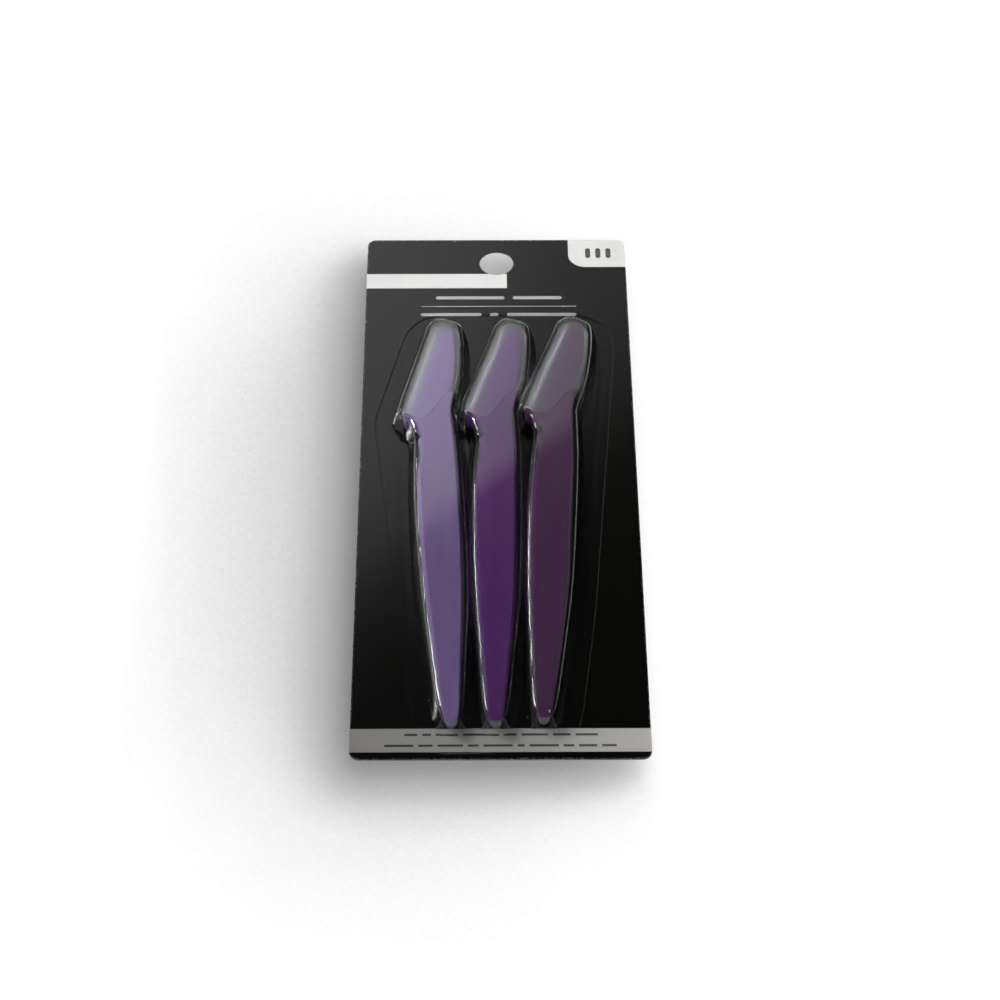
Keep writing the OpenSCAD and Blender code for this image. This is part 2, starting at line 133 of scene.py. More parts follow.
# Steps of the curves, and how far a cutter reaches past what it cuts
CURVE_STEPS = 6
SECTION_STEPS = 3
MOUTH_STEPS = 8
ROUND_STEPS = 8
PEG_STEPS = 48
FLANGE_STEPS = 64
OVERCUT = 2
STRAIGHT = 1e-9

# Shading breaks at a bend past these angles: between two flats, and round a level face. The heights
# of a face's normal tell a flat, a slope and a level face.
RIDGE_BEND = math.radians(0.4)
RIM_BEND = math.radians(4)
FLAT_ABOVE = 0.999
SLOPE_BELOW = 0.9999
LEVEL_ABOVE = 0.999999

# A pocket's wall: height as a share of its depth, then reach as a share of its flare
POCKET_FOOT = [(0, 1.30), (0.010, 1.16), (0.030, 1.06), (0.065, 0.985), (0.12, 0.91)]
POCKET_WALL = [(0.45, 0.50), (0.74, 0.13)]
ROUND_START = 0.1
CEILING_LEVEL_W = 0.25
POCKET_SUNK = 1

# The flange, sunk a little in the card so that no gap shows, and the foot that shares its look
FLANGE_SUNK = 0.06
FLANGE_CHAMFER = 0.12
FOOT_H = 0.9

# Seal ridges, and their rows as shares of the grip's width and length or of the cap's length
RIDGE_PITCH = 0.8
RIDGE_L = 2.6
RIDGE_W = 0.5
RIDGE_H = 0.09
RIDGE_SUNK = 0.06
SEAL_LEFT = [(-0.40, 0.30), (-0.53, 0.86)]
SEAL_CAP = (0.10, 0.88)
SEAL_RIGHT = [(0.38, 0.14), (0.43, 0.50), (0.466, 0.80)]
SPINE_KEY = 11

# How a face of the cap's mouth is told from its walls
UPRIGHT_BELOW = 0.05
FACES_DOWN = -0.2
MOUTH_REACH = 1.05

# Print: blur of its edges, wear at the card's rim, tones
PRINT_EDGE = 0.12
WEAR_W = 0.35
WEAR_STRENGTH = 0.35
PRINT_BLACK = (0.0012, 0.0011, 0.0006)
PRINT_WHITE = (0.61, 0.61, 0.60)
PRINT_GREY = (0.44, 0.43, 0.41)
PRINT_TEXT = (0.36, 0.36, 0.35)
PRINT_DARK = (0.07, 0.07, 0.065)
BOARD_GREY = (0.42, 0.41, 0.38)
TITLE_BARS = {"half_height": 0.62, "space": 2.4}
SMALL_BARS = {"half_height": 0.34, "space": 1.1}

# The part of the noise's range that the materials use
NOISE_LOW = 0.3
NOISE_HIGH = 0.7

# The sky, by direction: the slant on which its panel ends, and the levels beside it
SKY_TILT = 0.45
SKY_EDGE = 0.743
SKY_DIM = 0.03
SKY_SIDE = 0.12

# The floor in millimetres, and its glow with a painted shadow: where it is open, and how the glow darkens
# towards the card
FLOOR_HALF = 4000
FLOOR_THICK = 10
FLOOR_DROP = 7
RISER_LOW = (-28, -82)
RISER_HIGH = (28, 72)
SHADE_REACH = 70
SHADE_FROM = (0.85, 0.25, 0.45)
SHADE_SAMPLES = 16
FLOOR_DARKEST = 0.12
FLOOR_RISE = 0.74
FLOOR_OPEN_FROM = 0.63
FLOOR_OPEN_TO = 0.75
FLOOR_OPEN_LIFT = 0.3

CAMERA_PLACE = (-0.004936, -0.493605, 0.546312)
CAMERA_TURN = (41.64374, -0.21261, -0.39264)
CAMERA_LENS = 96.84
CAMERA_SENSOR_W = 36
CAMERA_NEAR = 0.01


# Curves and outlines

def catmull(a, b, c, d, t):
    """A point between b and c on the smooth curve through all four."""
    return b + ((c - a) * t + (2 * a - 5 * b + 4 * c - d) * t * t + (3 * b - a - 3 * c + d) * t ** 3) / 2


def closed_curve(keys, steps=CURVE_STEPS):
    """A smooth ring of points through the keys."""
    keys = np.array(keys, float)
    n = len(keys)
    return np.array([
        catmull(keys[i - 1], keys[i], keys[(i + 1) % n], keys[(i + 2) % n], s / steps)
        for i in range(n) for s in range(steps)])


def open_curve(keys, steps=CURVE_STEPS):
    """A smooth line of points from the first key to the last."""
    keys = np.array(keys, float)
    last = len(keys) - 1
    points = [
        catmull(keys[max(i - 1, 0)], keys[i], keys[i + 1], keys[min(i + 2, last)], s / steps)
        for i in range(last) for s in range(steps)]
    return np.array(points + [keys[last]])


def moved_in(points, depths):
    """An anticlockwise outline moved to its inside, each point by its own depth."""
    xy = points[:, :2]
    along = np.roll(xy, -1, 0) - np.roll(xy, 1, 0)
    along /= np.linalg.norm(along, axis=1, keepdims=True)
    return xy + np.stack([-along[:, 1], along[:, 0]], 1) * np.reshape(depths, (-1, 1))


def from_heel(p):
    """From the blade's axes, with the cap's heel at zero, to the razor's."""
    c, s = math.cos(BLADE_LEAN), math.sin(BLADE_LEAN)
    return [p[0] * c + p[1] * s - HEEL_REACH, p[1] * c - p[0] * s + GRIP_L]


def section(keys):
    """A smooth half section from its keys, kept at or under the flat."""
    curve = open_curve(keys, SECTION_STEPS)
    curve[:, 0] = np.clip(curve[:, 0], 0, 1)
    curve[:, 1] = np.clip(curve[:, 1], 0, None)
    return curve


right_keys = [[s[2] * GRIP_W, s[0] * GRIP_L, s[4] * BEVEL_W] for s in GRIP_SHARES]
left_keys = [[s[1] * GRIP_W, s[0] * GRIP_L, s[3] * BEVEL_W] for s in reversed(GRIP_SHARES)]
neck_keys = [[s[0] * GRIP_W, s[1] * GRIP_L, s[2] * BEVEL_W] for s in NECK_SHARES]
hook_keys = [[s[0] * GRIP_W, s[1] * GRIP_L, s[2] * BEVEL_W] for s in HOOK_SHARES]
shoulder_keys = [
    from_heel([MOUTH_SHARES[k][0] * CAP_W, MOUTH_SHARES[k][1] * MOUTH_RISE - SHOULDER_GAP])
    + [SHOULDER_SHARES[k - 2] * BEVEL_W]
    for k in range(len(MOUTH_SHARES) - 2, 1, -1)]
butt_key = [0, 0, GRIP_SHARES[0][3] * BEVEL_W]
grip_curve = closed_curve([butt_key] + right_keys + neck_keys + shoulder_keys + hook_keys + left_keys)
cap_keys = [[s[0] * CAP_W, s[1] * CAP_L, s[2] * CAP_BEVEL] for s in CAP_SHARES]


def cap_outline():
    """The cap's outline, anticlockwise, run on below the mouth at both ends."""
    foot = -CAP_W / 2
    spine = cap_keys[-1]
    keys = [[0, foot, CAP_BEVEL]] + cap_keys + [[spine[0], 0, spine[2]], [spine[0], foot, spine[2]]]
    return open_curve(keys)[::-1].copy()


def razor_outline():
    """The outline that the pockets follow, without the finger hollows."""
    keys = [[0, 0]]
    keys += [right_keys[k][:2] for k in range(1, 12, 2)]
    keys += [neck_keys[k][:2] for k in (0, 1)]
    keys += [from_heel(cap_keys[k]) for k in (14, 13, 11, 9, 8, 6, 5, 3, 2, 1, 0)]
    keys += [hook_keys[k][:2] for k in (2, 5)]
    keys += [left_keys[k][:2] for k in (1, 5, 7, 9, 11, 13)]
    return closed_curve(keys)


# Mesh building

def is_sharp(edge, steepest):
    """Whether shading breaks at an edge: where it is steep, round a level face, or between flats."""
    if len(edge.link_faces) != 2:
        return True
    tops = [abs(face.normal.z) for face in edge.link_faces]
    bend = edge.calc_face_angle(0)
    ridge = min(tops) > FLAT_ABOVE and bend > RIDGE_BEND
    level = min(tops) < SLOPE_BELOW and max(tops) > LEVEL_ABOVE and bend > RIM_BEND
    return bend > steepest or ridge or level


def new_object(name, bm, flat_angle=40):
    """A smooth shaded object from a bmesh in millimetres."""
    bmesh.ops.recalc_face_normals(bm, faces=bm.faces)
    bm.normal_update()
    steepest = math.radians(flat_angle)
    for edge in bm.edges:
        edge.smooth = not is_sharp(edge, steepest)
    for face in bm.faces:
        face.smooth = True
    bmesh.ops.scale(bm, vec=(MM, MM, MM), verts=bm.verts)
    mesh = bpy.data.meshes.new(name)
    bm.to_mesh(mesh)
    bm.free()
    obj = bpy.data.objects.new(name, mesh)
    bpy.context.scene.collection.objects.link(obj)
    return obj


def loft(rings):
    """A closed solid through rings of points, bottom to top, as a bmesh."""
    bm = bmesh.new()
    rows = [[bm.verts.new(p) for p in ring] for ring in rings]
    for low, high in zip(rows, rows[1:]):
        for i in range(len(low)):
            j = (i + 1) % len(low)
            bm.faces.new((low[i], low[j], high[j], high[i]))
    bm.faces.new(rows[0][::-1])
    bm.faces.new(rows[-1])
    return bm


def prism(outline, low, high):
    """An outline raised straight between two heights."""
    return loft([[(p[0], p[1], z) for p in outline] for z in (low, high)])


def box(low, high):
    outline = [(low[0], low[1]), (high[0], low[1]), (high[0], high[1]), (low[0], high[1])]
    return prism(outline, low[2], high[2])


def at_heel(bm):
    """Moves a bmesh from the blade's axes to the razor's."""
    for v in bm.verts:
        v.co.x, v.co.y = from_heel(v.co)
    return bm


def cut(bm, cutters, operation="DIFFERENCE"):
    """The bmesh with the cutters taken from it, or joined to it."""
    bmesh.ops.recalc_face_normals(bm, faces=bm.faces)
    mesh = bpy.data.meshes.new("scratch")
    bm.to_mesh(mesh)
    bm.free()
    body = bpy.data.objects.new("scratch", mesh)
    bpy.context.scene.collection.objects.link(body)
    helpers = []
    for cutter in cutters:
        bmesh.ops.recalc_face_normals(cutter, faces=cutter.faces)
        tool = bpy.data.meshes.new("scratch_cutter")
        cutter.to_mesh(tool)
        cutter.free()
        helper = bpy.data.objects.new("scratch_cutter", tool)
        bpy.context.scene.collection.objects.link(helper)
        step = body.modifiers.new("cut", "BOOLEAN")
        step.object = helper
        step.operation = operation
        step.solver = "MANIFOLD"
        helpers.append(helper)
    depsgraph = bpy.context.evaluated_depsgraph_get()
    done = bpy.data.meshes.new_from_object(body.evaluated_get(depsgraph))
    result = bmesh.new()
    result.from_mesh(done)
    for o in [body] + helpers:
        bpy.data.objects.remove(o)
    return result


def grip_half(y):
    """Half the grip's thickness, most at the ridge across its flats and less to both ends."""
    ridge = RIDGE_SHARE * GRIP_L
    tail = np.clip(1 - y / ridge, 0, None)
    neck = np.clip((y - ridge) / (GRIP_L - ridge), 0, None)
    return GRIP_MID - (GRIP_T - BUTT_T) / 2 * tail - (GRIP_T - NECK_T) / 2 * neck


def grip_mesh():
    """The grip, with strips across its flats where the tail thins."""
    half = section(GRIP_SECTION)
    levels = [(-h, inset) for h, inset in half[:0:-1]] + [tuple(s) for s in half]
    bm = bmesh.new()
    rows = []
    for height, inset in levels:
        xy = moved_in(grip_curve, grip_curve[:, 2] * inset)
        z = grip_half(xy[:, 1]) * height
        rows.append([bm.verts.new((*p, h)) for p, h in zip(xy, z)])
    n = len(grip_curve)
    for low, high in zip(rows, rows[1:]):
        for i in range(n):
            j = (i + 1) % n
            bm.faces.new((low[i], low[j], high[j], high[i]))
    pairs = CURVE_STEPS * len(GRIP_SHARES)
    for row in (rows[0][::-1], rows[-1]):
        ring = row if row is rows[-1] else [row[-1]] + row[:-1]
        bm.faces.new((ring[0], ring[1], ring[n - 1]))
        for i in range(1, pairs):
            bm.faces.new((ring[i], ring[i + 1], ring[n - i - 1], ring[n - i]))
        bm.faces.new(ring[pairs:n - pairs + 1])
    return bm


def sheath(shrink):
    """The cap's convex body, smaller by shrink on every side, as a loft."""
    outline = cap_outline()
    half = section(CAP_SECTION)
    levels = [(-h, inset) for h, inset in half[:0:-1]] + [tuple(s) for s in half]
    return loft([
        [(p[0], p[1], (CAP_T / 2 - shrink) * h) for p in moved_in(outline, shrink + outline[:, 2] * inset)]
        for h, inset in levels])


def below_mouth(drop):
    """A cutter for all that lies below the cap's mouth, lowered by drop."""
    curve = open_curve([[s[0] * CAP_W, s[1] * MOUTH_RISE] for s in MOUTH_SHARES], MOUTH_STEPS)[::-1]
    low = -CAP_W
    right = CAP_W + OVERCUT
    outline = [(right, low), (right, MOUTH_RISE)] + [tuple(p) for p in curve]
    outline += [(-OVERCUT, 0), (-OVERCUT, low)]
    return prism([(x, y - drop) for x, y in outline], -CAP_T, CAP_T)


def cap_mesh():
    """The frosted cap, with the cut face of its mouth given the second material."""
    bm = cut(sheath(0), [sheath(CAP_WALL), below_mouth(0)])
    bm.normal_update()
    for face in bm.faces:
        middle = face.calc_center_median()
        upright = abs(face.normal.z) < UPRIGHT_BELOW
        if upright and face.normal.y < FACES_DOWN and middle.y < MOUTH_REACH * MOUTH_RISE:
            face.material_index = 1
    return at_heel(bm)


def head_mesh():
    """The head that the cap covers, with its lip, blade slot and pegs."""
    half = CAP_T / 2 - HEAD_SHRINK
    cutters = [below_mouth(SHOULDER_GAP + ROOT_DEPTH)]
    for side in (-1, 1):
        profile = [
            (-OVERCUT, 0), (LIP_ACROSS, 0), (LIP_ACROSS, LIP_T / 2), (LIP_ACROSS + LIP_SLOPE_W, half),
            (LIP_ACROSS + LIP_SLOPE_W, half + OVERCUT), (-OVERCUT, half + OVERCUT)]
        rings = [[(x, y, side * z) for x, z in profile] for y in (-CAP_W, CAP_L + CAP_W)]
        cutters.append(loft(rings))
    reach = BLADE_T / 2 + BLADE_CLEAR
    back = EDGE_ACROSS + BLADE_W + BLADE_CLEAR
    cutters.append(box(
        (0, BLADE_START - BLADE_CLEAR, -reach), (back, BLADE_START + BLADE_L + BLADE_CLEAR, reach)))
    head = cut(sheath(HEAD_SHRINK), cutters)
    across = EDGE_ACROSS + PEG_ACROSS_SHARE * BLADE_W
    pegs = [disc(across, BLADE_START + s * BLADE_L, PEG_R, BLADE_T) for s in PEG_SHARES]
    return at_heel(cut(head, pegs, "UNION"))


def full_turn(steps):
    return np.linspace(0, 2 * math.pi, steps + 1)[:-1]


def disc(x, y, r, half):
    """A disc about the middle plane, half as thick to each side."""
    ring = [(x + r * math.cos(a), y + r * math.sin(a)) for a in full_turn(PEG_STEPS)]
    return prism(ring, -half, half)


def place(bm, razor, rise=0.0):
    """Moves a bmesh from a razor's own axes to the card's."""
    x, y, lean = RAZORS[razor]
    a = math.radians(-lean)
    for v in bm.verts:
        px, py = v.co.x, v.co.y
        v.co.x = x + px * math.cos(a) - py * math.sin(a)
        v.co.y = y - CARD_L / 2 + px * math.sin(a) + py * math.cos(a)
        v.co.z += rise
    return bm


def placed(points, razor):
    """Points from a razor's own axes to the card's, seen from above."""
    x, y, lean = RAZORS[razor]
    a = math.radians(-lean)
    turn = np.array([[math.cos(a), math.sin(a)], [-math.sin(a), math.cos(a)]])
    return np.asarray(points)[:, :2] @ turn + [x, y - CARD_L / 2]


# Blister

def pocket_section(extra):
    """A pocket's wall from the card up: height, and how far out of the razor's outline."""
    points = [
        (h * POCKET_DEPTH, POCKET_GAP + POCKET_FLARE * f) for h, f in POCKET_FOOT + POCKET_WALL]
    r = CEILING_ROUND
    for turn in np.linspace(ROUND_START, 1, ROUND_STEPS) * math.pi / 2:
        points.append((POCKET_DEPTH - r + r * math.sin(turn), POCKET_GAP - r * (1 - math.cos(turn))))
    points.append((POCKET_DEPTH, POCKET_GAP - r - CEILING_LEVEL_W))
    if not extra:
        return [(-POCKET_SUNK, points[0][1])] + points
    # The outside is the inside moved out along its own normal, so the sheet is as thick on the walls
    section_points = np.array(points)
    along = np.gradient(section_points, axis=0)
    along /= np.linalg.norm(along, axis=1, keepdims=True)
    outside = section_points + np.stack([-along[:, 1], along[:, 0]], 1) * extra
    outside[0] = (0, points[0][1] + extra)
    outside[-1, 0] = outside[-2, 0] = POCKET_DEPTH + extra
    return [tuple(p) for p in outside]


def pocket(razor, extra):
    """A pocket's hollow, or with the sheet as extra its outside."""
    outline = razor_outline()
    rings = [
        [(p[0], p[1], h) for p in moved_in(outline, np.full(len(outline), -out))]
        for h, out in pocket_section(extra)]
    return place(loft(rings), razor, CARD_T)


def hull_outline(points):
    """The convex outline round some points, anticlockwise."""
    ordered = sorted(map(tuple, points))

    def chain(run):
        kept = []
        for p in run:
            while len(kept) > 1 and (
                (kept[-1][0] - kept[-2][0]) * (p[1] - kept[-2][1])
                - (kept[-1][1] - kept[-2][1]) * (p[0] - kept[-2][0])
            ) <= STRAIGHT:
                kept.pop()
            kept.append(p)
        return kept[:-1]

    return chain(ordered) + chain(ordered[::-1])


def flange_outline():
    """One rounded convex outline, the flange's width outside the outer pockets' feet."""
    outline = razor_outline()
    feet = moved_in(outline, np.full(len(outline), -POCKET_GAP - POCKET_FLARE))
    corners = hull_outline(np.concatenate([placed(feet, r) for r in ("left", "right")]))
    turn = [(math.cos(a), math.sin(a)) for a in full_turn(FLANGE_STEPS)]
    return hull_outline([(x + FLANGE_W * c, y + FLANGE_W * s) for x, y in corners for c, s in turn])


def blister_mesh():
    """The formed sheet: a flange with a fine chamfer, and three pockets that merge."""
    outline = np.array(flange_outline())
    rim = moved_in(outline, np.full(len(outline), FLANGE_CHAMFER))
    flange = loft([
        [(x, y, CARD_T - FLANGE_SUNK) for x, y in outline],
        [(x, y, CARD_T + SHEET_T - FLANGE_CHAMFER) for x, y in outline],
        [(x, y, CARD_T + SHEET_T) for x, y in rim]])
    shell = cut(flange, [pocket(r, SHEET_T) for r in RAZORS], "UNION")
    return cut(shell, [pocket(r, 0) for r in RAZORS])


def blister_sheet():
    """The blister with its seal ridges, its flange and its pockets' feet given the second material."""
    bm = cut(blister_mesh(), [seal_ridges()], "UNION")
    bm.normal_update()
    for face in bm.faces:
        if max(v.co.z for v in face.verts) < CARD_T + SHEET_T + FOOT_H:
            face.material_index = 1
    return bm


def seal_ridges():
    """Rows of fine heat seal ridges beside the outer pockets: closed wedges standing in the flange."""
    beside = POCKET_GAP + POCKET_FLARE + FLANGE_W / 2
    left = [(x * GRIP_W - beside, y * GRIP_L) for x, y in SEAL_LEFT]
    cap = [from_heel([-beside, share * CAP_L]) for share in SEAL_CAP]
    spine = from_heel(cap_keys[SPINE_KEY][:2])
    right = [(x * GRIP_W + beside, y * GRIP_L) for x, y in SEAL_RIGHT]
    right.append((spine[0] + beside, spine[1]))
    rows = [("left", left), ("left", cap)]
    rows += [("right", [a, b]) for a, b in zip(right, right[1:])]
    bm = bmesh.new()
    for razor, ends in rows:
        a, b = placed(np.array(ends), razor)
        run = b - a
        along = run / np.linalg.norm(run)
        across = np.array([-along[1], along[0]])
        count = int(np.linalg.norm(run) / RIDGE_PITCH)
        for k in range(count):
            middle = a + run * k / count
            foot = CARD_T + SHEET_T - RIDGE_SUNK
            corners = [
                middle + along * i * RIDGE_W / 2 + across * j * RIDGE_L / 2
                for i, j in ((-1, -1), (1, -1), (1, 1), (-1, 1))]
            base = [bm.verts.new((*p, foot)) for p in corners]
            reach = across * (RIDGE_L / 2 - RIDGE_W)
            top = [bm.verts.new((*(middle + s * reach), CARD_T + SHEET_T + RIDGE_H)) for s in (-1, 1)]
            bm.faces.new(base[::-1])
            bm.faces.new((base[0], base[1], top[0]))
            bm.faces.new((base[1], base[2], top[1], top[0]))
            bm.faces.new((base[2], base[3], top[1]))
            bm.faces.new((base[3], base[0], top[0], top[1]))
    return bm


# Materials

def material(name, **values):
    """A Principled material, with uniform values set on the shader's own sockets, its tree and shader."""
    made = bpy.data.materials.new(name)
    made.use_nodes = True
    shader = made.node_tree.nodes["Principled BSDF"]
    for key, value in values.items():
        shader.inputs[key.replace("_", " ")].default_value = value
    return made, made.node_tree, shader


def add(tree, kind, inputs=None, **settings):
    """A new node, its inputs linked where they are sockets and set where they are values."""
    node = tree.nodes.new(kind)
    for key, value in settings.items():
        setattr(node, key, value)
    for key, value in (inputs or {}).items():
        if isinstance(value, bpy.types.NodeSocket):
            tree.links.new(value, node.inputs[key])
        else:
            node.inputs[key].default_value = value
    return node


def calc(tree, operation, a, b=0.0):
    """One sum on two values or sockets."""
    return add(tree, "ShaderNodeMath", {0: a, 1: b}, operation=operation).outputs[0]


def in_mm(tree):
    """Object coordinates in millimetres: a node's or piece's own place on the card."""
    coords = add(tree, "ShaderNodeTexCoord").outputs["Object"]
    return add(tree, "ShaderNodeVectorMath", {0: coords, "Scale": 1 / MM}, operation="SCALE").outputs[0]


def noise(tree, coords, scale, detail=3.0, stretch=(1, 1, 1), turn=0.0):
    """Noise with its scale per millimetre, stretched along the axes and then turned about Z."""
    mapped = add(tree, "ShaderNodeMapping", {"Vector": coords, "Rotation": (0, 0, turn), "Scale": stretch})
    return add(tree, "ShaderNodeTexNoise", {
        "Vector": mapped.outputs[0], "Scale": scale, "Detail": detail}).outputs["Fac"]


def ramp(tree, value, low, high, to_low=0.0, to_high=1.0, smooth=False):
    """A value's range from low to high stretched over another, and held at its ends."""
    return add(tree, "ShaderNodeMapRange", {
        "Value": value, "From Min": low, "From Max": high, "To Min": to_low, "To Max": to_high},
        interpolation_type="SMOOTHSTEP" if smooth else "LINEAR").outputs["Result"]


def from_noise(tree, value, to_low=0.0, to_high=1.0):
    """A noise's usual range stretched over other values."""
    return ramp(tree, value, NOISE_LOW, NOISE_HIGH, to_low, to_high)


def mix(tree, factor, a, b):
    """Colours or values mixed, as colour."""
    node = add(tree, "ShaderNodeMix", data_type="RGBA")
    for socket, value in ((node.inputs[0], factor), (node.inputs[6], a), (node.inputs[7], b)):
        if isinstance(value, bpy.types.NodeSocket):
            tree.links.new(value, socket)
        else:
            socket.default_value = value if socket is node.inputs[0] else (*value, 1)
    return node.outputs[2]


def bump(tree, shader, height, strength, depth):
    """Bump from a height, with its depth in millimetres."""
    node = add(tree, "ShaderNodeBump", {"Height": height, "Strength": strength, "Distance": depth * MM})
    tree.links.new(node.outputs[0], shader.inputs["Normal"])


def let_lamps_through(tree, shader, color):
    """Lets the lamps light what lies under a see-through material."""
    path = add(tree, "ShaderNodeLightPath")
    ray = calc(tree, "MAXIMUM", path.outputs["Is Shadow Ray"], path.outputs["Is Diffuse Ray"])
    clear = add(tree, "ShaderNodeBsdfTransparent", {"Color": (*color, 1)})
    both = add(tree, "ShaderNodeMixShader", {0: ray, 1: shader.outputs[0], 2: clear.outputs[0]})
    tree.links.new(both.outputs[0], tree.nodes["Material Output"].inputs["Surface"])


def shade(color, by):
    """A colour made darker or lighter."""
    return tuple(c * by for c in color)


def moulded_plastic(name, color):
    """Glossy moulded plastic with faint flow marks along the grip and a fine skin."""
    made, tree, shader = material(name, IOR=1.3)
    coords = in_mm(tree)
    flow = noise(tree, coords, scale=0.22, detail=4, stretch=(1, 0.18, 1))
    skin = noise(tree, coords, scale=3.2, detail=2)
    tone = mix(tree, from_noise(tree, flow), shade(color, by=0.93), shade(color, by=1.07))
    tree.links.new(tone, shader.inputs["Base Color"])
    tree.links.new(from_noise(tree, flow, 0.15, 0.20), shader.inputs["Roughness"])
    bump(tree, shader, skin, strength=0.12, depth=0.004)
    return made


def frosted_plastic():
    """Thin milky plastic that blurs the head behind it, with a fine frosted grain."""
    made, tree, shader = material("frosted_cap", IOR=1.2, Transmission_Weight=1, Alpha=0.62)
    coords = in_mm(tree)
    grain = noise(tree, coords, scale=7, detail=2)
    cloud = noise(tree, coords, scale=0.25, detail=3)
    tone = mix(tree, cloud, (0.86, 0.86, 0.90), (0.94, 0.94, 0.96))
    tree.links.new(tone, shader.inputs["Base Color"])
    tree.links.new(from_noise(tree, grain, 0.44, 0.54), shader.inputs["Roughness"])
    bump(tree, shader, grain, strength=0.2, depth=0.01)
    let_lamps_through(tree, shader, (0.85, 0.85, 0.87))
    return made


def frosted_edge():
    """The cut edge of the frosted plastic, which looks whiter than its walls."""
    made, tree, shader = material("frosted_cap_edge", IOR=1.49, Alpha=0.62)
    grain = noise(tree, in_mm(tree), scale=5, detail=2)
    tone = mix(tree, grain, (0.72, 0.72, 0.76), (0.90, 0.90, 0.94))
    tree.links.new(tone, shader.inputs["Base Color"])
    tree.links.new(from_noise(tree, grain, 0.25, 0.4), shader.inputs["Roughness"])
    return made


def clear_sheet(name, ior):
    """Clear formed sheet with a faint ripple, which lets the lamps through to what lies under it."""
    made, tree, shader = material(
        name, Base_Color=(0.97, 0.98, 0.98, 1), Roughness=0.01, IOR=ior, Transmission_Weight=1)
    ripple = noise(tree, in_mm(tree), scale=0.25, detail=1, stretch=(1, 0.3, 1))
    bump(tree, shader, ripple, strength=0.2, depth=0.006)
    let_lamps_through(tree, shader, (0.95, 0.96, 0.96))
    return made


def steel(name, color, rough, grain_scale, depth):
    """Brushed metal with its grain across the blade."""
    made, tree, shader = material(name, Metallic=1)
    coords = in_mm(tree)
    lines = noise(tree, coords, grain_scale, detail=4, stretch=(0.06, 1, 0.06), turn=BLADE_LEAN)
    cloud = noise(tree, coords, scale=0.6, detail=3)
    tone = mix(tree, lines, shade(color, by=0.9), shade(color, by=1.08))
    tree.links.new(tone, shader.inputs["Base Color"])
    tree.links.new(from_noise(tree, cloud, rough, rough + 0.12), shader.inputs["Roughness"])
    bump(tree, shader, lines, strength=0.3, depth=depth)
    return made


def print_mask_group():
    """A node group that gives 1 inside a rounded bar and 0 outside, all in millimetres."""
    group = bpy.data.node_groups.new("rounded_bar", "ShaderNodeTree")
    face = group.interface
    face.new_socket("Place", in_out="INPUT", socket_type="NodeSocketVector")
    for name in ("X", "Y", "Half width", "Half height", "Radius"):
        face.new_socket(name, in_out="INPUT", socket_type="NodeSocketFloat")
    face.new_socket("Mask", in_out="OUTPUT", socket_type="NodeSocketFloat")
    given = add(group, "NodeGroupInput").outputs
    at = add(group, "ShaderNodeSeparateXYZ", {0: given["Place"]}).outputs
    past = []
    for axis, centre, half in (("X", "X", "Half width"), ("Y", "Y", "Half height")):
        off = calc(group, "ABSOLUTE", calc(group, "SUBTRACT", at[axis], given[centre]))
        past.append(calc(group, "ADD", calc(group, "SUBTRACT", off, given[half]), given["Radius"]))
    outer = [calc(group, "MAXIMUM", p, 0.0) for p in past]
    squares = [calc(group, "MULTIPLY", p, p) for p in outer]
    corner = calc(group, "SQRT", calc(group, "ADD", squares[0], squares[1]))
    inner = calc(group, "MINIMUM", calc(group, "MAXIMUM", past[0], past[1]), 0.0)
    distance = calc(group, "SUBTRACT", calc(group, "ADD", corner, inner), given["Radius"])
    mask = ramp(group, distance, PRINT_EDGE / 2, -PRINT_EDGE / 2)
    add(group, "NodeGroupOutput", {"Mask": mask})
    return group


def word_bars(row, start, end, y, half_height, space):
    """Plain bars in place of a line of print, each as long as its share of the line.

    A bar is its centre across and up the card, half its width and height, and its corners' radius.
    """
    step = (end - start - space * (len(row) - 1)) / sum(row)
    bars = []
    x = start
    for share in row:
        bars.append((x + share * step / 2, y, share * step / 2, half_height, half_height))
        x += share * step + space
    return bars


